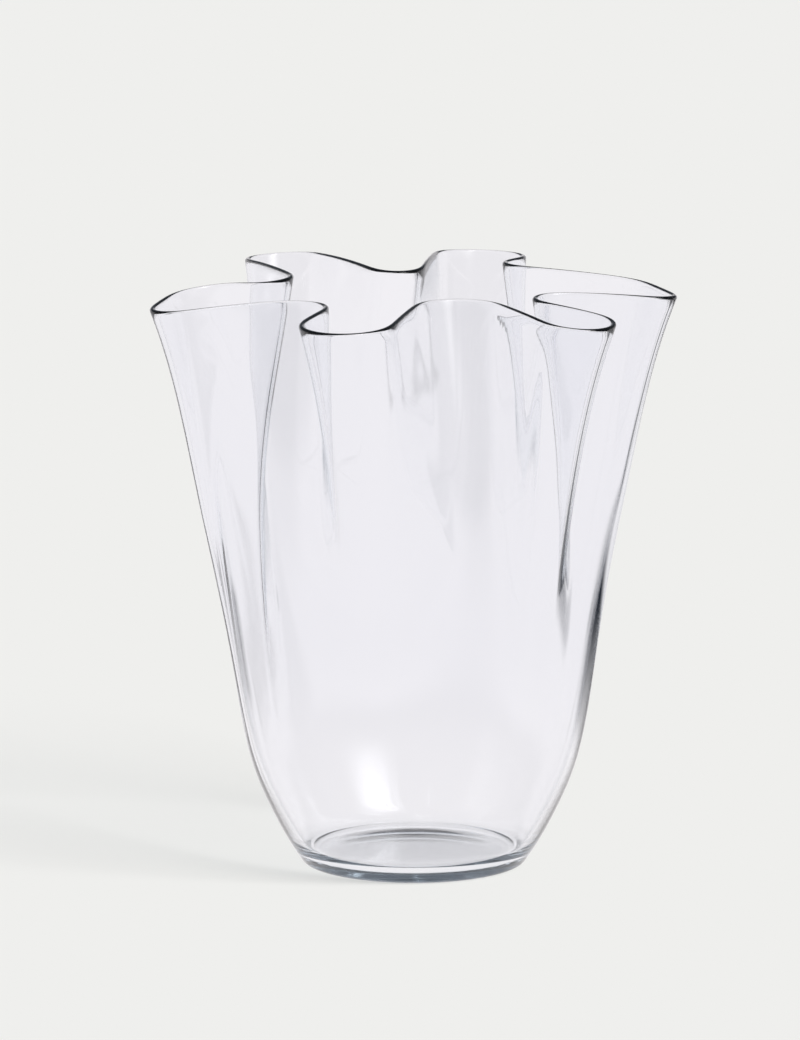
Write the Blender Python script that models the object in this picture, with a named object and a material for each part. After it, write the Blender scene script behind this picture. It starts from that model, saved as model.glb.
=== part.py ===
"""Handkerchief vase of clear glass, blown in one piece.

A deep round bowl on a thick flat foot opens into a wall that was reheated, spun
out and let fall into six soft lobes. Lengths in metres, +Z up, and the middle of
the foot stands on the origin.

The mouth is drawn as a belt that runs round pegs: outside the lobes' pegs and
inside the folds' pegs. Below the mouth the same belt eases back into the round
bowl, so that every lobe and fold starts in the bowl and grows up to the edge.
"""

import bpy
import numpy as np

# The mouth's edge, where it stands over the bowl, and how low its lobes hang
MOUTH_HEIGHT = 0.250
FOLD_CREST = 0.0043
LOBE_DROP = 0.0045
CREST_REACH = 0.040
LOBE_REACH = 0.115

# Where the folds start in the bowl, and how fast they deepen towards the mouth
FOLD_START = 0.016
FOLD_GROWTH = 2.4
EDGE_SOFTNESS = 0.005

# The glass: thin at the mouth, thicker down the bowl, thickest in the floor
MOUTH_WALL = 0.0023
BOWL_WALL = 0.0045
WALL_TAPER = 0.060
FLOOR = 0.0055
FLOOR_CURVE = 0.006

# The foot: a flat ring to stand on, a rounded heel and a shallow hollow beneath
FOOT_RADIUS = 0.0484
HEEL_ROUND = 0.0016
HOLLOW_RADIUS = 0.0365
HOLLOW_DEPTH = 0.0007

# The round body's outside: height above the table and radius, above the foot
BODY = (
    (0.009, 0.0543),
    (0.022, 0.0614),
    (0.040, 0.0692),
    (0.062, 0.0746),
    (0.095, 0.0788),
    (0.125, 0.0819),
    (0.160, 0.0850),
    (0.200, 0.0852),
    (0.250, 0.0805),
)

# The pegs of the mouth's belt, counter-clockwise from the right, each with
# its side (+1 the belt runs outside it, a lobe; -1 inside it, a fold),
# bearing and distance of its middle, radius of the glass's outside round it,
# lift of the edge there, and the bearing on the bowl that it grows from
LOBE, FOLD = 1, -1
PEGS = (
    # right lobe, its tip and its back
    (LOBE, -5, 0.1041, 0.0110, 0.0004, 14),
    (LOBE, 10, 0.0809, 0.0250, -0.0004, 27),
    (FOLD, 50, 0.0825, 0.0127, 0.0002, 47),
    # back lobe
    (LOBE, 72, 0.0950, 0.0210, 0.0010, 66),
    (FOLD, 101, 0.0403, 0.0102, 0.0010, 103),
    # back left lobe
    (LOBE, 124, 0.1034, 0.0175, 0.0014, 137),
    (FOLD, 165, 0.0706, 0.0142, 0.0009, 152),
    # left lobe, its back and its tip
    (LOBE, 190, 0.0850, 0.0250, -0.0006, 189),
    (LOBE, 197, 0.1063, 0.0130, -0.0014, 195),
    (FOLD, 223, 0.0751, 0.0167, -0.0012, 238),
    # front left lobe
    (LOBE, 252, 0.0929, 0.0210, 0.0000, 261),
    (FOLD, 289, 0.0602, 0.0182, -0.0001, 290),
    # front right lobe
    (LOBE, 314, 0.1005, 0.0170, -0.0014, 306),
    (FOLD, 333, 0.0710, 0.0112, -0.0002, 331),
)

# How finely the form is cut into facets
AROUND = 160
BENDS_EXTRA = 0.012
WALL_RINGS = 10
BOWL_RINGS = 6
CURVE_RINGS = 3
LIP_RINGS = 3
FOLDED_FROM = 0.058
FINE_STEPS = 2880


def smooth_curve(stations, at):
    """Natural cubic through the stations, carried on straight past both ends."""
    x, y = np.array(stations).T
    gap = np.diff(x)
    slope = np.diff(y) / gap
    system = np.diag(np.full(len(x), 1.0))
    load = np.zeros(len(x))
    for i in range(1, len(x) - 1):
        system[i, i - 1:i + 2] = gap[i - 1], 2 * (gap[i - 1] + gap[i]), gap[i]
        load[i] = 6 * (slope[i] - slope[i - 1])
    bend = np.linalg.solve(system, load)
    first = slope[0] - gap[0] * bend[1] / 6
    last = slope[-1] + gap[-1] * bend[-2] / 6
    k = np.clip(np.searchsorted(x, at) - 1, 0, len(gap) - 1)
    a, b = (x[k + 1] - at) / gap[k], (at - x[k]) / gap[k]
    inside = a * y[k] + b * y[k + 1]
    inside = inside + ((a**3 - a) * bend[k] + (b**3 - b) * bend[k + 1]) * gap[k]**2 / 6
    below, above = y[0] + first * (at - x[0]), y[-1] + last * (at - x[-1])
    return np.where(at < x[0], below, np.where(at > x[-1], above, inside))


def body_radius(height):
    """Outside radius of the round body at a height."""
    return smooth_curve(((0.0, FOOT_RADIUS),) + BODY, height)


def wall(height):
    """Thickness of the glass, which falls off from the bowl to the mouth."""
    return MOUTH_WALL + (BOWL_WALL - MOUTH_WALL) * np.exp(-height / WALL_TAPER)


def mouth_belt(count):
    """Plan of the mouth's edge: x, y, lift and bowl bearing at count places.

    Each peg gives an arc, and each pair of pegs the straight that touches both.
    The belt is then softened by a bell-shaped average along its length, and cut
    closer where it bends.
    """
    side, bearing, distance, radius, lift, root = np.array(PEGS).T
    bearing = np.radians(bearing)
    x, y = distance * np.cos(bearing), distance * np.sin(bearing)
    signed = side * radius
    to_x, to_y = np.roll(x, -1) - x, np.roll(y, -1) - y
    apart = np.hypot(to_x, to_y)
    lean = (np.roll(signed, -1) - signed) / apart
    leaves = np.arctan2(to_y, to_x) - np.arcsin(np.clip(lean, -1, 1))
    enters = np.roll(leaves, 1)
    turn = side * np.mod(side * (leaves - enters), 2 * np.pi)
    arc = np.abs(turn) * radius
    straight = apart * np.sqrt(np.maximum(1 - lean**2, 0))

    ends = np.concatenate([[0], np.cumsum(np.stack([arc, straight], 1).ravel())])
    length = ends[-1]
    s = np.arange(FINE_STEPS) / FINE_STEPS * length
    piece = np.searchsorted(ends, s, side="right") - 1
    peg, on_straight = piece // 2, piece % 2 == 1
    along = s - ends[piece]
    heading = np.where(on_straight, leaves[peg],
                       enters[peg] + side[peg] * along / radius[peg])
    ahead = np.where(on_straight, along, 0.0)
    plan_x = x[peg] + signed[peg] * np.sin(heading) + ahead * np.cos(heading)
    plan_y = y[peg] - signed[peg] * np.cos(heading) + ahead * np.sin(heading)

    middle = ends[:-1:2] + arc / 2
    around = np.concatenate([middle - length, middle, middle + length])
    lifts = np.interp(s, around, np.tile(lift, 3))
    roots = np.interp(s, around, np.concatenate([root - 360, root, root + 360]))
    roots = roots - 360 * s / length

    rows = np.stack([plan_x, plan_y, lifts, roots])
    waves = np.fft.rfftfreq(FINE_STEPS, length / FINE_STEPS)
    bell = np.exp(-2 * (np.pi * EDGE_SOFTNESS * waves)**2)
    rows = np.fft.irfft(np.fft.rfft(rows, axis=1) * bell, n=FINE_STEPS, axis=1)
    rows[3] += 360 * s / length

    step = np.roll(rows[:2], -1, axis=1) - rows[:2]
    course = np.unwrap(np.arctan2(step[1], step[0]))
    cost = np.hypot(*step) + BENDS_EXTRA * np.abs(np.gradient(course))
    reached = np.concatenate([[0], np.cumsum(cost)])
    pick = np.interp(np.arange(count) / count * reached[-1], reached,
                     np.arange(FINE_STEPS + 1))
    whole_turn = np.array([0, 0, 0, 360.0])
    closed = np.concatenate([rows, (rows[:, 0] + whole_turn)[:, None]], axis=1)
    return np.stack([np.interp(pick, np.arange(FINE_STEPS + 1), row) for row in closed])


def outside(height, belt):
    """Points of the glass's outside, one ring for each height.

    Ring point = round point * (1 - share) + belt point * share, where the share
    of the belt grows from nothing at FOLD_START to all of it at the mouth.
    """
    x, y, lift, root = belt
    h = np.asarray(height)[:, None]
    rise = np.maximum(h - FOLD_START, 0) / (MOUTH_HEIGHT - FOLD_START)
    share = rise**FOLD_GROWTH
    even = np.arange(len(x)) / len(x) * 2 * np.pi + np.radians(root[0])
    blend = np.clip(h / FOLDED_FROM, 0, 1)
    turn = even + (np.radians(root) - even) * blend * blend * (3 - 2 * blend)
    radius = body_radius(h) * (1 - share)
    reach = (np.hypot(x, y) - CREST_REACH) / (LOBE_REACH - CREST_REACH)
    edge = FOLD_CREST - LOBE_DROP * np.maximum(reach, 0)**2 + lift
    return np.stack([
        radius * np.cos(turn) + share * x,
        radius * np.sin(turn) + share * y,
        h + rise**2 * edge,
    ], axis=2)


def ring_frames(height, belt):
    """Outside points with the way out of the glass and the way up the wall."""
    points = outside(height, belt)
    along = np.roll(points, -1, axis=1) - np.roll(points, 1, axis=1)
    near = MOUTH_WALL / 4
    upward = outside(height + near, belt) - outside(height - near, belt)
    out = np.cross(along, upward)
    out /= np.linalg.norm(out, axis=2, keepdims=True)
    up = np.cross(out, along)
    up /= np.linalg.norm(up, axis=2, keepdims=True)
    return points, out, up


def inside(height, belt):
    """Points of the glass's inside, one wall's thickness in from the outside."""
    points, out, _ = ring_frames(height, belt)
    return points - out * wall(height)[:, None, None]


def lip(belt):
    """Fire-polished edge: half a round from the outside over to the inside."""
    points, out, up = ring_frames(np.array([MOUTH_HEIGHT]), belt)
    half = wall(MOUTH_HEIGHT) / 2
    angle = np.arange(1, LIP_RINGS + 1)[:, None, None] * np.pi / (LIP_RINGS + 1)
    return points - out * half + half * (np.cos(angle) * out + np.sin(angle) * up)


def bend(start, corner, end, steps):
    """Curve from start to end that is drawn towards the corner, both ends included."""
    t = np.linspace(0, 1, steps)[:, None]
    start, corner, end = np.array(start), np.array(corner), np.array(end)
    return (1 - t)**2 * start + 2 * t * (1 - t) * corner + t**2 * end


def turned(profile, angles):
    """Rings of points for a profile of radius and height turned about the axis."""
    radius, height = profile[:, :1], profile[:, 1:]
    return np.stack([
        radius * np.cos(angles),
        radius * np.sin(angles),
        height + 0 * angles,
    ], axis=2)


def foot_profile():
    """Underside from near the axis to the heel: hollow, standing ring, round."""
    r = HOLLOW_RADIUS * np.array([0.45, 0.8])
    hollow = np.stack([r, HOLLOW_DEPTH * (1 - (r / HOLLOW_RADIUS)**2)], axis=1)
    heel = bend((FOOT_RADIUS - HEEL_ROUND, 0), (FOOT_RADIUS, 0),
                (body_radius(np.array(HEEL_ROUND)), HEEL_ROUND), CURVE_RINGS)
    return np.concatenate([hollow, [[HOLLOW_RADIUS, 0]], heel])


def floor_profile(wall_end, wall_next):
    """Inside of the floor, from where it leaves the wall to near the axis."""
    climb = (wall_next - wall_end) / (wall_next[1] - wall_end[1])
    corner = wall_end - climb * (wall_end[1] - FLOOR)
    flat = np.array([corner[0] - FLOOR_CURVE, FLOOR])
    curve = bend(wall_end, corner, flat, CURVE_RINGS + 2)[1:]
    return np.concatenate([curve, [[0.5 * flat[0], FLOOR]]])


def vase_mesh():
    """The closed skin: rings from the middle of the foot out, over and back in."""
    belt = mouth_belt(AROUND)
    half_belt = belt[:, ::2]
    angles = np.radians(half_belt[3, 0]) + np.arange(AROUND // 2) / (AROUND // 2) * 2 * np.pi

    low = np.linspace(HEEL_ROUND, FOLDED_FROM, BOWL_RINGS + 1)[1:]
    high = np.linspace(FOLDED_FROM, MOUTH_HEIGHT, WALL_RINGS + 1)[1:]
    low_in = np.linspace(FLOOR + FLOOR_CURVE, FOLDED_FROM, BOWL_RINGS)
    foot = turned(foot_profile(), angles)
    inner = inside(low_in, half_belt)
    across = np.hypot(inner[:2, 0, 0], inner[:2, 0, 1])
    floor = turned(floor_profile(*np.stack([across, inner[:2, 0, 2]], axis=1)), angles)

    rings = [*foot, *outside(low, half_belt), *outside(high, belt), *lip(belt),
             *inside(high[::-1], belt), *inner[::-1], *floor]
    points = [(0.0, 0.0, HOLLOW_DEPTH), (0.0, 0.0, FLOOR)]
    starts = []
    for ring in rings:
        starts.append(len(points))
        points.extend(map(tuple, ring))

    faces = [(0, starts[0] + (j + 1) % len(rings[0]), starts[0] + j)
             for j in range(len(rings[0]))]
    for a, b, near, far in zip(starts, starts[1:], rings, rings[1:]):
        faces.extend(band(a, len(near), b, len(far)))
    faces.extend((1, starts[-1] + j, starts[-1] + (j + 1) % len(rings[-1]))
                 for j in range(len(rings[-1])))
    return points, faces


def band(a, near, b, far):
    """Faces between two rings, which may have twice as many points one as the other."""
    faces = []
    for j in range(min(near, far)):
        k = (j + 1) % min(near, far)
        if near == far:
            faces.append((a + j, a + k, b + k, b + j))
        elif near < far:
            m = b + 2 * j + 1
            faces += [(a + j, m, b + 2 * j), (a + j, a + k, m), (a + k, b + 2 * k, m)]
        else:
            m = a + 2 * j + 1
            faces += [(a + 2 * j, m, b + j), (m, b + k, b + j), (m, a + 2 * k, b + k)]
    return faces


def clear_glass():
    """Colourless soda-lime glass, fire-polished."""
    material = bpy.data.materials.new("clear_glass")
    material.use_nodes = True
    shader = material.node_tree.nodes["Principled BSDF"]
    shader.inputs["Base Color"].default_value = (0.93, 0.94, 0.97, 1.0)
    shader.inputs["Roughness"].default_value = 0.02
    shader.inputs["Metallic"].default_value = 0.0
    shader.inputs["Transmission Weight"].default_value = 1.0
    shader.inputs["IOR"].default_value = 1.5
    return material


def build():
    """Clear the scene's objects and add the vase."""
    for item in list(bpy.data.objects):
        bpy.data.objects.remove(item, do_unlink=True)
    points, faces = vase_mesh()
    mesh = bpy.data.meshes.new("vase")
    mesh.from_pydata(points, [], faces)
    mesh.validate()
    mesh.shade_smooth()
    mesh.materials.append(clear_glass())
    vase = bpy.data.objects.new("vase", mesh)
    bpy.context.scene.collection.objects.link(vase)


build()
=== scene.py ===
"""Looks of the handkerchief vase: clear blown glass on a plain pale table."""

import math

import bpy
import numpy as np
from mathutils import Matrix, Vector


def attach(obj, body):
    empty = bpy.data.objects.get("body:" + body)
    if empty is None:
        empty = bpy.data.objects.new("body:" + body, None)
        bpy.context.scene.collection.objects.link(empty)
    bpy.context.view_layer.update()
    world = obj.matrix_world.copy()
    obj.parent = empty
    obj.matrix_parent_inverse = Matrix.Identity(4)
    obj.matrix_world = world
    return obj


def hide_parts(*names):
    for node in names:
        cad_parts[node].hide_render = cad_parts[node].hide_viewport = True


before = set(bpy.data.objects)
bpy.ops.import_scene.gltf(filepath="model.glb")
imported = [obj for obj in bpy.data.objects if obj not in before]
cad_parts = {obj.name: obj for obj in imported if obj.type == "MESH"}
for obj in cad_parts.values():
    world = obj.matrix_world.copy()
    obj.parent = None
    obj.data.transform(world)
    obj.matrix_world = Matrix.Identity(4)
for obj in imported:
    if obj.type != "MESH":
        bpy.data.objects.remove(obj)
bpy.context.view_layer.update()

bl_info = {
    "name": "Handkerchief Vase",
    "version": (1, 0, 0),
    "blender": (4, 5, 0),
    "location": "View3D > Sidebar > Vase",
    "description": "Makes a blown glass handkerchief vase and the table it stands on",
    "category": "Object",
}

# The round body's outside: height above the table and radius, in metres
BODY = (
    (0.009, 0.0543),
    (0.022, 0.0614),
    (0.040, 0.0692),
    (0.062, 0.0746),
    (0.095, 0.0788),
    (0.125, 0.0819),
    (0.160, 0.0850),
    (0.200, 0.0852),
    (0.250, 0.0805),
)

# The pegs that the mouth's belt runs round, counter-clockwise from the right:
# side (+1 outside it, a lobe; -1 inside it, a fold), bearing in degrees,
# distance, radius, lift of the edge there and bearing on the bowl below
LOBE, FOLD = 1, -1
PEGS = (
    (LOBE, -5, 0.1041, 0.0110, 0.0004, 14),
    (LOBE, 10, 0.0809, 0.0250, -0.0004, 27),
    (FOLD, 50, 0.0825, 0.0127, 0.0002, 47),
    (LOBE, 72, 0.0950, 0.0210, 0.0010, 66),
    (FOLD, 101, 0.0403, 0.0102, 0.0010, 103),
    (LOBE, 124, 0.1034, 0.0175, 0.0014, 137),
    (FOLD, 165, 0.0706, 0.0142, 0.0009, 152),
    (LOBE, 190, 0.0850, 0.0250, -0.0006, 189),
    (LOBE, 197, 0.1063, 0.0130, -0.0014, 195),
    (FOLD, 223, 0.0751, 0.0167, -0.0012, 238),
    (LOBE, 252, 0.0929, 0.0210, 0.0000, 261),
    (FOLD, 289, 0.0602, 0.0182, -0.0001, 290),
    (LOBE, 314, 0.1005, 0.0170, -0.0014, 306),
    (FOLD, 333, 0.0710, 0.0112, -0.0002, 331),
)

# The folds: the height they start from, the power they grow by, and the height from
# which every point stands over its own bearing on the bowl
FOLD_START = 0.016
FOLD_GROWTH = 2.4
FOLDED_FROM = 0.058

# The edge: how far it rises over the mouth's height, how far it drops at the lobes'
# tips, and the distances from the axis that it drops between
FOLD_CREST = 0.00425
LOBE_DROP = 0.0045
CREST_REACH = 0.040
LOBE_REACH = 0.115

# The rise over which the wall's extra thickness at the foot falls to about a third
WALL_TAPER = 0.060

# The share of the belt's plan that the smooth edge takes, to keep inside the part's box
BELT_SHARE = 0.998

# The foot's round heel, the hollow beneath it, and the curve from its floor to the wall
HEEL_ROUND = 0.0016
HOLLOW_RADIUS = 0.0365
FLOOR_CURVE = 0.006

# The grid: points round the vase, the fine steps that they are picked from, how much
# closer they stand in the bends, and the rings in each stretch of its section
AROUND = 600
FINE_STEPS = 4800
BENDS_EXTRA = 0.012
HOLLOW_RINGS = 8
HEEL_RINGS = 6
WALL_RINGS = 60
LIP_RINGS = 11
FLOOR_RINGS = 10

# The camera: a long lens some way off, a little above the mouth
CAMERA_PLACE = (-0.0061, -4.1256, 0.938)
CAMERA_AIM = (-0.0061, 0.0, 0.151)
CAMERA_LENS = 334.4
CAMERA_SENSOR = 36.0

# The table: its side, and how far it lies below the foot so that the two don't touch
TABLE_SIZE = 18.0
TABLE_GAP = 0.0002

# Two dark patches painted on the table behind the vase, a painted reflection that only the glass
# shows and that draws the bowl's edges: which side each lies on, and from where to where it fades
# in, and out, by its distance past the bowl's side over its distance back, and by that distance
# back
BOWL_SIDE = 0.075
PAINTED_REFLECTION_PATCHES = (
    (1, (0.18, 0.28), (1.20, 0.90), (0.10, 0.18), (0.50, 0.40)),
    (-1, (0.12, 0.18), (0.34, 0.26), (0.22, 0.30), (0.56, 0.48)),
)

# Where the table that the glass shows grows paler towards the foot, as painted light, by the
# distance from the axis
PALER_FROM = 0.50
PALER_FULL = 0.04

# The studio's grey right side and grey upper part, by the share of a direction that
# points right, and up
SIDE_FROM = 0.90
SIDE_FULL = 0.98
ABOVE_FROM = 0.06
ABOVE_FULL = 0.25

# The tall soft lamp that the bowl mirrors: half its width as the vase sees it, and
# the sines of the heights over which its foot and its head fade
LAMP_HALF_WIDTH = math.radians(30)
LAMP_FOOT = (0.36, 0.80)
LAMP_HEAD = (1.00, 0.88)

# Refraction of soda-lime glass, and how many surfaces light may cross in all, and how
# many it may be mirrored by
GLASS_IOR = 1.52
GLASS_BOUNCES = 24
GLOSSY_BOUNCES = 16

# How edge-on the glass has to be, from 0 to 1, before its colour takes on painted shade at
# its edge, and before it holds back the key's light
EDGE_FROM = 0.72
EDGE_FULL = 0.98
SHADE_FROM = 0.55
SHADE_FULL = 0.95

# Colours of the table and the studio, the last four only as the glass shows them
PALE = "EFEFED"
SEEN_IN_GLASS = "F4F2F5"
# Painted reflection: the dark of the patches on the table that only the glass shows
PAINTED_REFLECTION_DARK = "1C222C"
STUDIO_GREY = "70767E"
# Painted light: the paler colour of the table round the foot, only as the glass shows it
PAINTED_LIGHT_BY_FOOT = "FEFBFC"


def linear(code):
    """Linear colour from a six-figure sRGB hex code, by the sRGB curve."""
    shares = np.array([int(code[i:i + 2], 16) / 255 for i in (0, 2, 4)])
    low = shares / 12.92
    high = ((shares + 0.055) / 1.055) ** 2.4
    return tuple(float(v) for v in np.where(shares <= 0.04045, low, high))


class VaseSizes(bpy.types.PropertyGroup):
    """Sizes of the vase that a user would change."""

    mouth_height: bpy.props.FloatProperty(
        name="Mouth height", description="Height at which the folds reach the mouth's belt",
        default=0.250, unit="LENGTH")
    foot_radius: bpy.props.FloatProperty(
        name="Foot radius", description="Outer radius of the foot at the table",
        default=0.0484, unit="LENGTH")
    mouth_wall: bpy.props.FloatProperty(
        name="Mouth wall", description="Thickness of the glass at the mouth",
        default=0.0023, unit="LENGTH")
    bowl_wall: bpy.props.FloatProperty(
        name="Bowl wall", description="Thickness that the glass comes to at the foot",
        default=0.0045, unit="LENGTH")
    floor: bpy.props.FloatProperty(
        name="Floor", description="Height of the bowl's floor above the table",
        default=0.0055, unit="LENGTH")
    hollow_depth: bpy.props.FloatProperty(
        name="Hollow", description="Depth of the hollow under the foot",
        default=0.0007, unit="LENGTH")
    softness: bpy.props.FloatProperty(
        name="Softness", description="Length over which the edge's bends are softened",
        default=0.005, unit="LENGTH")


class GlassLook(bpy.types.PropertyGroup):
    """Colour and finish of the glass, and the shade painted on its edges."""

    tint: bpy.props.FloatVectorProperty(
        name="Tint", description="Colour of the glass where it is seen face on",
        default=linear("FEFEFF"), subtype="COLOR", size=3, min=0.0, max=1.0)
    # Painted shade: the colour that the glass is darkened to where its wall is seen edge-on
    edge: bpy.props.FloatVectorProperty(
        name="Edge", description="Colour of the glass where it is seen edge-on",
        default=linear("848C96"), subtype="COLOR", size=3, min=0.0, max=1.0)
    depth: bpy.props.FloatVectorProperty(
        name="Depth", description="Colour that light takes on as it runs inside the glass",
        default=linear("C8D4DC"), subtype="COLOR", size=3, min=0.0, max=1.0)
    density: bpy.props.FloatProperty(
        name="Density", description="How fast it takes on that colour, per metre",
        default=20.0)
    shade: bpy.props.FloatVectorProperty(
        name="Shade", description="Light that the wall lets through to the table, face on",
        default=linear("FFFFFF"), subtype="COLOR", size=3, min=0.0, max=1.0)
    shade_edge: bpy.props.FloatVectorProperty(
        name="Edge shade", description="Light that the wall lets through, edge on",
        default=linear("8C9094"), subtype="COLOR", size=3, min=0.0, max=1.0)


class StageLook(bpy.types.PropertyGroup):
    """Light and colour of the table and the studio."""

    pale: bpy.props.FloatVectorProperty(
        name="Table and backdrop", description="Colour of the table and the backdrop",
        default=linear(PALE), subtype="COLOR", size=3, min=0.0, max=1.0)
    seen: bpy.props.FloatVectorProperty(
        name="Seen in glass", description="Colour of the studio where the glass shows it",
        default=linear(SEEN_IN_GLASS), subtype="COLOR", size=3, min=0.0, max=1.0)
    # Painted reflection: colour of the dark patches painted on the table for the glass alone
    patch: bpy.props.FloatVectorProperty(
        name="Cards", description="Colour of the dark cards that draw the glass's edges",
        default=linear(PAINTED_REFLECTION_DARK), subtype="COLOR", size=3, min=0.0, max=1.0)
    # Painted light: the table's colour round the foot, paler, only in the glass
    painted_light_by_foot: bpy.props.FloatVectorProperty(
        name="By the foot", description="Colour of the table round the foot, in the glass",
        default=linear(PAINTED_LIGHT_BY_FOOT), subtype="COLOR", size=3, min=0.0, max=1.0)
    grey: bpy.props.FloatVectorProperty(
        name="Grey", description="Colour of the studio's right side and upper part, in the glass",
        default=linear(STUDIO_GREY), subtype="COLOR", size=3, min=0.0, max=1.0)
    fill: bpy.props.FloatProperty(
        name="Fill", description="Light from all round, where 1 is white", default=0.62)
    key: bpy.props.FloatProperty(
        name="Key", description="Light of the key on the table, where 1 is white", default=0.38)
    lamp: bpy.props.FloatProperty(
        name="Lamp", description="Brightness of the tall lamp in the glass, where 1 is white",
        default=5.5)
    lamp_bearing: bpy.props.FloatProperty(
        name="Lamp bearing", description="Where the lamp stands, from the right towards the back",
        default=math.radians(-47), subtype="ANGLE")
    key_bearing: bpy.props.FloatProperty(
        name="Key bearing", description="Where the key stands, from the right towards the back",
        default=math.radians(-37), subtype="ANGLE")
    key_height: bpy.props.FloatProperty(
        name="Key height", description="How high the key stands above the table",
        default=math.radians(38), subtype="ANGLE")
    key_width: bpy.props.FloatProperty(
        name="Key width", description="How wide the key looks from the table",
        default=math.radians(26), subtype="ANGLE")


def smooth_curve(stations, at):
    """Natural cubic through the stations, carried on straight past both ends."""
    x, y = np.array(stations).T
    gap = np.diff(x)
    slope = np.diff(y) / gap
    system = np.diag(np.full(len(x), 1.0))
    load = np.zeros(len(x))
    for i in range(1, len(x) - 1):
        system[i, i - 1:i + 2] = gap[i - 1], 2 * (gap[i - 1] + gap[i]), gap[i]
        load[i] = 6 * (slope[i] - slope[i - 1])
    bend = np.linalg.solve(system, load)
    first = slope[0] - gap[0] * bend[1] / 6
    last = slope[-1] + gap[-1] * bend[-2] / 6
    k = np.clip(np.searchsorted(x, at) - 1, 0, len(gap) - 1)
    a, b = (x[k + 1] - at) / gap[k], (at - x[k]) / gap[k]
    inner = a * y[k] + b * y[k + 1]
    inner = inner + ((a**3 - a) * bend[k] + (b**3 - b) * bend[k + 1]) * gap[k]**2 / 6
    below, above = y[0] + first * (at - x[0]), y[-1] + last * (at - x[-1])
    return np.where(at < x[0], below, np.where(at > x[-1], above, inner))


def body_radius(sizes, height):
    """Outside radius of the round body at a height."""
    return smooth_curve(((0.0, sizes.foot_radius),) + BODY, height)


def wall(sizes, height):
    """Thickness = mouth wall + (bowl wall - mouth wall) * exp(-height / taper)."""
    return sizes.mouth_wall + (sizes.bowl_wall - sizes.mouth_wall) * np.exp(-height / WALL_TAPER)


def mouth_belt(sizes):
    """Plan of the mouth's edge: rows of x, y, lift and bowl bearing.

    Each peg gives an arc, and each pair of pegs the straight that touches both.
    The belt is softened by a bell-shaped average along its length, and cut
    closer where it bends.
    """
    side, bearing, distance, radius, lift, root = np.array(PEGS).T
    bearing = np.radians(bearing)
    distance, radius = BELT_SHARE * distance, BELT_SHARE * radius
    x, y = distance * np.cos(bearing), distance * np.sin(bearing)
    signed = side * radius
    to_x, to_y = np.roll(x, -1) - x, np.roll(y, -1) - y
    apart = np.hypot(to_x, to_y)
    lean = (np.roll(signed, -1) - signed) / apart
    leaves = np.arctan2(to_y, to_x) - np.arcsin(np.clip(lean, -1, 1))
    enters = np.roll(leaves, 1)
    turn = side * np.mod(side * (leaves - enters), 2 * np.pi)
    arc = np.abs(turn) * radius
    straight = apart * np.sqrt(np.maximum(1 - lean**2, 0))

    ends = np.concatenate([[0], np.cumsum(np.stack([arc, straight], 1).ravel())])
    length = ends[-1]
    s = np.arange(FINE_STEPS) / FINE_STEPS * length
    piece = np.searchsorted(ends, s, side="right") - 1
    peg, on_straight = piece // 2, piece % 2 == 1
    along = s - ends[piece]
    heading = np.where(on_straight, leaves[peg],
                       enters[peg] + side[peg] * along / radius[peg])
    ahead = np.where(on_straight, along, 0.0)
    plan_x = x[peg] + signed[peg] * np.sin(heading) + ahead * np.cos(heading)
    plan_y = y[peg] - signed[peg] * np.cos(heading) + ahead * np.sin(heading)

    middle = ends[:-1:2] + arc / 2
    around = np.concatenate([middle - length, middle, middle + length])
    lifts = np.interp(s, around, np.tile(lift, 3))
    roots = np.interp(s, around, np.concatenate([root - 360, root, root + 360]))
    roots = roots - 360 * s / length

    rows = np.stack([plan_x, plan_y, lifts, roots])
    waves = np.fft.rfftfreq(FINE_STEPS, length / FINE_STEPS)
    bell = np.exp(-2 * (np.pi * sizes.softness * waves)**2)
    rows = np.fft.irfft(np.fft.rfft(rows, axis=1) * bell, n=FINE_STEPS, axis=1)
    rows[3] += 360 * s / length

    step = np.roll(rows[:2], -1, axis=1) - rows[:2]
    course = np.unwrap(np.arctan2(step[1], step[0]))
    cost = np.hypot(*step) + BENDS_EXTRA * np.abs(np.gradient(course))
    reached = np.concatenate([[0], np.cumsum(cost)])
    pick = np.interp(np.arange(AROUND) / AROUND * reached[-1], reached,
                     np.arange(FINE_STEPS + 1))
    whole_turn = np.array([0, 0, 0, 360.0])
    closed = np.concatenate([rows, (rows[:, 0] + whole_turn)[:, None]], axis=1)
    return np.stack([np.interp(pick, np.arange(FINE_STEPS + 1), row) for row in closed])


def outside(sizes, height, belt):
    """Points of the glass's outside, a ring for each height.

    Ring point = round point * (1 - share) + belt point * share, where
    share = rise ** growth and rise = (height - fold start) / (mouth height - fold start).
    Its height gains rise ** 2 * edge, where edge is highest at the folds.
    """
    x, y, lift, root = belt
    h = np.asarray(height)[:, None]
    rise = np.maximum(h - FOLD_START, 0) / (sizes.mouth_height - FOLD_START)
    share = rise**FOLD_GROWTH
    even = np.arange(len(x)) / len(x) * 2 * np.pi + np.radians(root[0])
    blend = np.clip(h / FOLDED_FROM, 0, 1)
    turn = even + (np.radians(root) - even) * blend * blend * (3 - 2 * blend)
    radius = body_radius(sizes, h) * (1 - share)
    reach = (np.hypot(x, y) - CREST_REACH) / (LOBE_REACH - CREST_REACH)
    edge = FOLD_CREST - LOBE_DROP * np.maximum(reach, 0)**2 + lift
    return np.stack([
        radius * np.cos(turn) + share * x,
        radius * np.sin(turn) + share * y,
        h + rise**2 * edge,
    ], axis=2)


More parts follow.
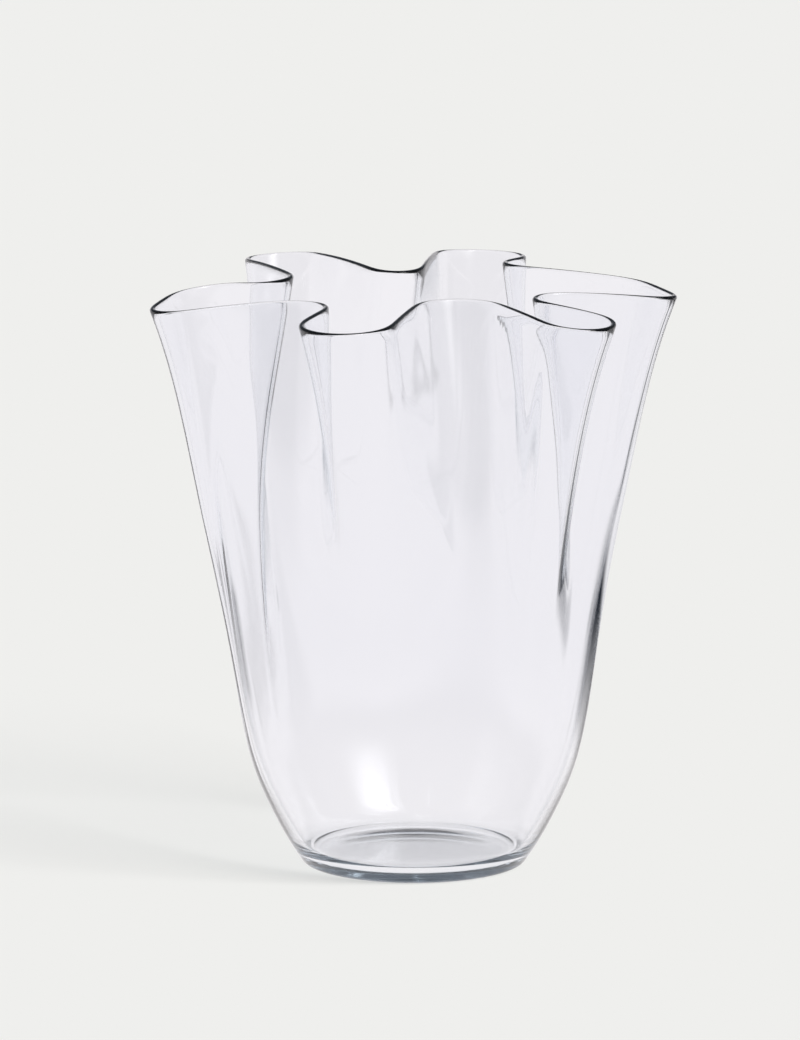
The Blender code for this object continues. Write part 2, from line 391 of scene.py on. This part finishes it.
def ring_frames(sizes, height, belt):
    """Outside points, with the way out of the glass and the way up the wall.

    The way out is the way along the ring crossed with the way from ring to ring, and
    the way up is the way out crossed with the way along.
    """
    points = outside(sizes, height, belt)
    near = sizes.mouth_wall / 4
    along = np.roll(points, -1, axis=1) - np.roll(points, 1, axis=1)
    upward = outside(sizes, height + near, belt) - outside(sizes, height - near, belt)
    out = np.cross(along, upward)
    out /= np.linalg.norm(out, axis=2, keepdims=True)
    up = np.cross(out, along)
    up /= np.linalg.norm(up, axis=2, keepdims=True)
    return points, out, up


def inside(sizes, height, belt):
    """Points of the glass's inside: outside - way out * thickness."""
    points, out, _ = ring_frames(sizes, height, belt)
    return points - out * wall(sizes, height)[:, None, None]


def lip(sizes, belt):
    """Fire-polished edge: half a round from the outside over to the inside."""
    mouth = np.array([sizes.mouth_height])
    points, out, up = ring_frames(sizes, mouth, belt)
    half = wall(sizes, mouth) / 2
    angle = np.arange(1, LIP_RINGS + 1)[:, None, None] * np.pi / (LIP_RINGS + 1)
    return points - out * half + half * (np.cos(angle) * out + np.sin(angle) * up)


def bend(start, corner, end, steps):
    """(1-t)^2 start + 2t(1-t) corner + t^2 end, for t from 0 to 1."""
    t = np.linspace(0, 1, steps)[:, None]
    start, corner, end = np.array(start), np.array(corner), np.array(end)
    return (1 - t)**2 * start + 2 * t * (1 - t) * corner + t**2 * end


def turned(profile, angles):
    """Profile of radius and height turned about the axis: r cos a, r sin a, height."""
    radius, height = profile[:, :1], profile[:, 1:]
    return np.stack([
        radius * np.cos(angles),
        radius * np.sin(angles),
        height + 0 * angles,
    ], axis=2)


def foot_profile(sizes):
    """Underside: height = depth * (1 - (r / hollow radius)^2), then flat, then round."""
    r = HOLLOW_RADIUS * np.arange(1, HOLLOW_RINGS + 1) / HOLLOW_RINGS
    hollow = np.stack([r, sizes.hollow_depth * (1 - (r / HOLLOW_RADIUS)**2)], axis=1)
    heel = bend((sizes.foot_radius - HEEL_ROUND, 0), (sizes.foot_radius, 0),
                (body_radius(sizes, np.array(HEEL_ROUND)), HEEL_ROUND), HEEL_RINGS)
    return np.concatenate([hollow, heel])


def floor_profile(sizes, wall_end, wall_next):
    """Inside of the floor: a curve off the wall, then flat to near the axis."""
    climb = (wall_next - wall_end) / (wall_next[1] - wall_end[1])
    corner = wall_end - climb * (wall_end[1] - sizes.floor)
    flat = np.array([corner[0] - FLOOR_CURVE, sizes.floor])
    curve = bend(wall_end, corner, flat, FLOOR_RINGS)[1:]
    r = flat[0] * np.arange(FLOOR_RINGS - 1, 0, -1) / FLOOR_RINGS
    return np.concatenate([curve, np.stack([r, sizes.floor + 0 * r], axis=1)])


def vase_rings(sizes):
    """Grid of points from under the foot, up the outside, over the lip and back in."""
    belt = mouth_belt(sizes)
    angles = np.radians(belt[3, 0]) + np.arange(AROUND) / AROUND * 2 * np.pi
    climb = np.linspace(0, 1, WALL_RINGS)
    up = HEEL_ROUND + (sizes.mouth_height - HEEL_ROUND) * climb
    down = sizes.floor + FLOOR_CURVE
    down = down + (sizes.mouth_height - down) * climb[::-1]
    inner = inside(sizes, down, belt)
    low = inner[[-1, -2], 0]
    across = np.stack([np.hypot(low[:, 0], low[:, 1]), low[:, 2]], axis=1)
    return np.concatenate([
        turned(foot_profile(sizes), angles),
        outside(sizes, up[1:], belt),
        lip(sizes, belt),
        inner,
        turned(floor_profile(sizes, across[0], across[1]), angles),
    ])


def skin(name, rings, first, last):
    """Closed mesh of a grid of rings, with a point at each end for its poles."""
    count, around = rings.shape[:2]
    points = np.concatenate([rings.reshape(-1, 3), [first, last]])
    j = np.arange(around)
    k = (j + 1) % around
    low = np.arange(count - 1)[:, None] * around
    quads = np.stack([low + j, low + k, low + around + k, low + around + j], axis=2)
    start, end = count * around, count * around + 1
    top = (count - 1) * around
    caps = np.concatenate([
        np.stack([np.full(around, start), k, j], axis=1),
        np.stack([np.full(around, end), top + j, top + k], axis=1),
    ])
    corners = np.concatenate([quads.reshape(-1), caps.reshape(-1)])
    sides = np.concatenate([np.full(quads.size // 4, 4), np.full(len(caps), 3)])
    mesh = bpy.data.meshes.new(name)
    mesh.vertices.add(len(points))
    mesh.vertices.foreach_set("co", points.astype(np.float32).ravel())
    mesh.loops.add(len(corners))
    mesh.loops.foreach_set("vertex_index", corners.astype(np.int32))
    mesh.polygons.add(len(sides))
    mesh.polygons.foreach_set("loop_start", (np.cumsum(sides) - sides).astype(np.int32))
    mesh.update(calc_edges=True)
    mesh.validate()
    mesh.shade_smooth()
    return mesh


def add_node(tree, kind, **settings):
    """One node: its settings by name, and input_N as a value or as what feeds it."""
    node = tree.nodes.new(kind)
    for name, value in settings.items():
        if not name.startswith("input_"):
            setattr(node, name, value)
        elif isinstance(value, bpy.types.NodeSocket):
            tree.links.new(value, node.inputs[int(name[6:])])
        else:
            node.inputs[int(name[6:])].default_value = value
    return node


def empty_material(name):
    """Material with an output and nothing else."""
    material = bpy.data.materials.new(name)
    material.use_nodes = True
    material.node_tree.nodes.clear()
    return material


def soda_lime_glass(look):
    """Soda-lime glass, blown and fire-polished.

    Fire-polishing leaves no grain at all, so the surface is mirror-smooth and the
    eye reads it from its edges, whose colour is painted darker where the wall is seen
    edge-on, as painted shade. Iron in the sand gives a faint blue-grey wherever light
    runs far inside it. Face on it passes the key's light in full, and edge on it holds
    some back, so its shadow is pale with a darker rim.
    """
    material = empty_material("soda_lime_glass_fire_polished")
    tree = material.node_tree
    # Painted shade: the glass's colour darkens towards the edge colour where it is seen edge-on
    facing = add_node(tree, "ShaderNodeLayerWeight").outputs["Facing"]
    edge_shade_share = add_node(tree, "ShaderNodeMapRange", interpolation_type="SMOOTHSTEP",
                       input_0=facing, input_1=EDGE_FROM, input_2=EDGE_FULL)
    colour = add_node(tree, "ShaderNodeMix", data_type="RGBA", input_0=edge_shade_share.outputs[0],
                      input_6=(*look.tint, 1.0), input_7=(*look.edge, 1.0))
    glass = add_node(tree, "ShaderNodeBsdfPrincipled", input_0=colour.outputs[2])
    glass.inputs["Roughness"].default_value = 0.0
    glass.inputs["IOR"].default_value = GLASS_IOR
    glass.inputs["Transmission Weight"].default_value = 1.0
    slanted = add_node(tree, "ShaderNodeMapRange", interpolation_type="SMOOTHSTEP",
                       input_0=facing, input_1=SHADE_FROM, input_2=SHADE_FULL)
    tone = add_node(tree, "ShaderNodeMix", data_type="RGBA", input_0=slanted.outputs[0],
                    input_6=(*look.shade, 1.0), input_7=(*look.shade_edge, 1.0))
    clear = add_node(tree, "ShaderNodeBsdfTransparent", input_0=tone.outputs[2])
    path = add_node(tree, "ShaderNodeLightPath")
    mix = add_node(tree, "ShaderNodeMixShader", input_0=path.outputs["Is Shadow Ray"],
                   input_1=glass.outputs[0], input_2=clear.outputs[0])
    body = add_node(tree, "ShaderNodeVolumeAbsorption")
    body.inputs["Color"].default_value = (*look.depth, 1.0)
    body.inputs["Density"].default_value = look.density
    add_node(tree, "ShaderNodeOutputMaterial", input_0=mix.outputs[0],
             input_1=body.outputs[0])
    return material


def painted_board(look):
    """Board with matt emulsion paint, pale and even, for the table.

    The glass shows it free of shadow, paler by the foot as painted light, and with two dark
    patches as a painted reflection: patch = step(spread) * step(distance back), where
    spread = (side * x - bowl) / y.
    """
    material = empty_material("painted_board_matt")
    tree = material.node_tree
    place = add_node(tree, "ShaderNodeTexCoord").outputs["Object"]
    split = add_node(tree, "ShaderNodeSeparateXYZ", input_0=place)
    away = add_node(tree, "ShaderNodeVectorMath", operation="LENGTH", input_0=place)
    # Painted light: the table grows paler towards the foot where the glass shows it
    paler = add_node(tree, "ShaderNodeMapRange", interpolation_type="SMOOTHSTEP",
                     input_0=away.outputs["Value"], input_1=PALER_FROM, input_2=PALER_FULL)
    back = split.outputs[1]
    # Painted reflection: two dark patches on the table that only the glass shows
    patches = 0.0
    for side, *steps in PAINTED_REFLECTION_PATCHES:
        past = add_node(tree, "ShaderNodeMath", operation="MULTIPLY_ADD",
                        input_0=split.outputs[0], input_1=side, input_2=-BOWL_SIDE)
        spread = add_node(tree, "ShaderNodeMath", operation="DIVIDE",
                          input_0=past.outputs[0], input_1=back)
        patch = 1.0
        for value, (start, end) in zip((spread.outputs[0],) * 2 + (back,) * 2, steps):
            step = add_node(tree, "ShaderNodeMapRange", interpolation_type="SMOOTHSTEP",
                            input_0=value, input_1=start, input_2=end)
            patch = add_node(tree, "ShaderNodeMath", operation="MULTIPLY", input_0=patch,
                            input_1=step.outputs[0]).outputs[0]
        patches = add_node(tree, "ShaderNodeMath", operation="MAXIMUM", input_0=patches,
                         input_1=patch).outputs[0]
    path = add_node(tree, "ShaderNodeLightPath")
    in_glass = add_node(tree, "ShaderNodeMath", operation="MAXIMUM",
                        input_0=path.outputs["Is Glossy Ray"],
                        input_1=path.outputs["Is Transmission Ray"])
    shown = add_node(tree, "ShaderNodeMix", data_type="RGBA", input_0=patches,
                     input_6=(*look.seen, 1.0), input_7=(*look.patch, 1.0))
    shown = add_node(tree, "ShaderNodeMix", data_type="RGBA", input_0=paler.outputs[0],
                     input_6=shown.outputs[2], input_7=(*look.painted_light_by_foot, 1.0))
    paint = add_node(tree, "ShaderNodeBsdfDiffuse", input_0=(*look.pale, 1.0))
    glow = add_node(tree, "ShaderNodeEmission", input_0=shown.outputs[2])
    mix = add_node(tree, "ShaderNodeMixShader", input_0=in_glass.outputs[0],
                   input_1=paint.outputs[0], input_2=glow.outputs[0])
    add_node(tree, "ShaderNodeOutputMaterial", input_0=mix.outputs[0])
    return material


def studio_world(look):
    """Even fill light and a pale backdrop, with what only the glass shows.

    That is the studio, pale but for its grey right side and upper part, and one tall
    soft lamp = step(bearing off the lamp's) * step(height up) * step(height down).
    """
    world = bpy.data.worlds.new("studio")
    world.use_nodes = True
    tree = world.node_tree
    tree.nodes.clear()
    way = add_node(tree, "ShaderNodeTexCoord").outputs["Generated"]
    split = add_node(tree, "ShaderNodeSeparateXYZ", input_0=way)
    side = add_node(tree, "ShaderNodeMapRange", interpolation_type="SMOOTHSTEP",
                    input_0=split.outputs[0], input_1=SIDE_FROM, input_2=SIDE_FULL)
    above = add_node(tree, "ShaderNodeMapRange", interpolation_type="SMOOTHSTEP",
                     input_0=split.outputs[2], input_1=ABOVE_FROM, input_2=ABOVE_FULL)
    grey = add_node(tree, "ShaderNodeMath", operation="MAXIMUM", input_0=side.outputs[0],
                    input_1=above.outputs[0])
    shown = add_node(tree, "ShaderNodeMix", data_type="RGBA", input_0=grey.outputs[0],
                     input_6=(*look.seen, 1.0), input_7=(*look.grey, 1.0))
    bearing = add_node(tree, "ShaderNodeMath", operation="ARCTAN2",
                       input_0=split.outputs[1], input_1=split.outputs[0])
    aside = add_node(tree, "ShaderNodeMath", operation="SUBTRACT",
                     input_0=bearing.outputs[0], input_1=look.lamp_bearing)
    aside = add_node(tree, "ShaderNodeMath", operation="ABSOLUTE", input_0=aside.outputs[0])
    lamp = 1.0
    for value, start, end in ((aside.outputs[0], LAMP_HALF_WIDTH, 0.0),
                              (split.outputs[2], *LAMP_FOOT),
                              (split.outputs[2], *LAMP_HEAD)):
        step = add_node(tree, "ShaderNodeMapRange", interpolation_type="SMOOTHSTEP",
                        input_0=value, input_1=start, input_2=end)
        lamp = add_node(tree, "ShaderNodeMath", operation="MULTIPLY", input_0=lamp,
                        input_1=step.outputs[0]).outputs[0]
    lit = (look.lamp, look.lamp, look.lamp, 1.0)
    shown = add_node(tree, "ShaderNodeMix", data_type="RGBA", input_0=lamp,
                     input_6=shown.outputs[2], input_7=lit)
    path = add_node(tree, "ShaderNodeLightPath")
    in_glass = add_node(tree, "ShaderNodeMath", operation="MAXIMUM",
                        input_0=path.outputs["Is Glossy Ray"],
                        input_1=path.outputs["Is Transmission Ray"])
    plain = add_node(tree, "ShaderNodeMix", data_type="RGBA",
                     input_0=path.outputs["Is Camera Ray"],
                     input_6=(look.fill, look.fill, look.fill, 1.0),
                     input_7=(*look.pale, 1.0))
    colour = add_node(tree, "ShaderNodeMix", data_type="RGBA", input_0=in_glass.outputs[0],
                      input_6=plain.outputs[2], input_7=shown.outputs[2])
    back = add_node(tree, "ShaderNodeBackground", input_0=colour.outputs[2])
    add_node(tree, "ShaderNodeOutputWorld", input_0=back.outputs[0])
    return world


def aimed(item, place, aim):
    """Puts a lamp or camera at a place, looking at the aim."""
    item.location = place
    item.rotation_euler = (Vector(aim) - Vector(place)).to_track_quat("-Z", "Y").to_euler()


def add_key(look):
    """Soft key light: light on the table = strength * sin(height) / pi."""
    sun = bpy.data.lights.new("key", "SUN")
    sun.energy = look.key * math.pi / math.sin(look.key_height)
    sun.angle = look.key_width
    key = bpy.data.objects.new("key", sun)
    key.visible_glossy = False
    key.visible_transmission = False
    bpy.context.scene.collection.objects.link(key)
    flat = math.cos(look.key_height)
    aimed(key, (flat * math.cos(look.key_bearing), flat * math.sin(look.key_bearing),
                math.sin(look.key_height)), (0.0, 0.0, 0.0))


def add_table(look):
    """The table: one square, just below the foot."""
    half = TABLE_SIZE / 2
    mesh = bpy.data.meshes.new("table")
    mesh.from_pydata([(-half, -half, -TABLE_GAP), (half, -half, -TABLE_GAP),
                      (half, half, -TABLE_GAP), (-half, half, -TABLE_GAP)],
                     [], [(0, 1, 2, 3)])
    mesh.materials.append(painted_board(look))
    table = bpy.data.objects.new("table", mesh)
    bpy.context.scene.collection.objects.link(table)


def add_camera(scene):
    """The camera, which the scene looks through."""
    lens = bpy.data.cameras.new("camera")
    lens.lens = CAMERA_LENS
    lens.sensor_width = CAMERA_SENSOR
    camera = bpy.data.objects.new("camera", lens)
    scene.collection.objects.link(camera)
    aimed(camera, CAMERA_PLACE, CAMERA_AIM)
    scene.camera = camera


class HANDKERCHIEF_OT_vase(bpy.types.Operator):
    """Make the vase in blown glass"""

    bl_idname = "handkerchief.vase"
    bl_label = "Glass vase"

    def execute(self, context):
        sizes = context.scene.vase_sizes
        rings = vase_rings(sizes)
        mesh = skin("blown_vase", rings, (0, 0, sizes.hollow_depth), (0, 0, sizes.floor))
        mesh.materials.append(soda_lime_glass(context.scene.vase_glass))
        vase = bpy.data.objects.new("blown_vase", mesh)
        context.scene.collection.objects.link(vase)
        # The even fill light passes the vase, so that mainly the key shades the table
        vase.visible_diffuse = False
        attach(vase, "root")
        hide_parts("vase")
        return {"FINISHED"}


class HANDKERCHIEF_OT_stage(bpy.types.Operator):
    """Make the table, the studio light and the camera"""

    bl_idname = "handkerchief.stage"
    bl_label = "Table, light and camera"

    def execute(self, context):
        scene = context.scene
        look = scene.vase_stage
        add_table(look)
        scene.world = studio_world(look)
        add_key(look)
        add_camera(scene)
        scene.view_settings.view_transform = "Standard"
        # Where folds stand behind each other, light crosses many walls before it gets out
        scene.cycles.max_bounces = GLASS_BOUNCES
        scene.cycles.transmission_bounces = GLASS_BOUNCES
        scene.cycles.glossy_bounces = GLOSSY_BOUNCES
        return {"FINISHED"}


class HANDKERCHIEF_PT_panel(bpy.types.Panel):
    """Sizes, colours and the steps that make the scene"""

    bl_label = "Handkerchief Vase"
    bl_space_type = "VIEW_3D"
    bl_region_type = "UI"
    bl_category = "Vase"

    def draw(self, context):
        for group in (context.scene.vase_sizes, context.scene.vase_glass,
                      context.scene.vase_stage):
            box = self.layout.box()
            for name in group.bl_rna.properties.keys():
                if name not in ("rna_type", "name"):
                    box.prop(group, name)
        self.layout.operator(HANDKERCHIEF_OT_vase.bl_idname)
        self.layout.operator(HANDKERCHIEF_OT_stage.bl_idname)


CLASSES = (VaseSizes, GlassLook, StageLook, HANDKERCHIEF_OT_vase, HANDKERCHIEF_OT_stage,
           HANDKERCHIEF_PT_panel)


def register():
    """Adds the classes and their settings to Blender."""
    for item in CLASSES:
        bpy.utils.register_class(item)
    bpy.types.Scene.vase_sizes = bpy.props.PointerProperty(type=VaseSizes)
    bpy.types.Scene.vase_glass = bpy.props.PointerProperty(type=GlassLook)
    bpy.types.Scene.vase_stage = bpy.props.PointerProperty(type=StageLook)


def unregister():
    """Takes the classes and their settings away again."""
    del bpy.types.Scene.vase_stage
    del bpy.types.Scene.vase_glass
    del bpy.types.Scene.vase_sizes
    for item in reversed(CLASSES):
        bpy.utils.unregister_class(item)


def main():
    register()
    bpy.ops.handkerchief.vase()
    bpy.ops.handkerchief.stage()


if __name__ == "__main__":
    main()
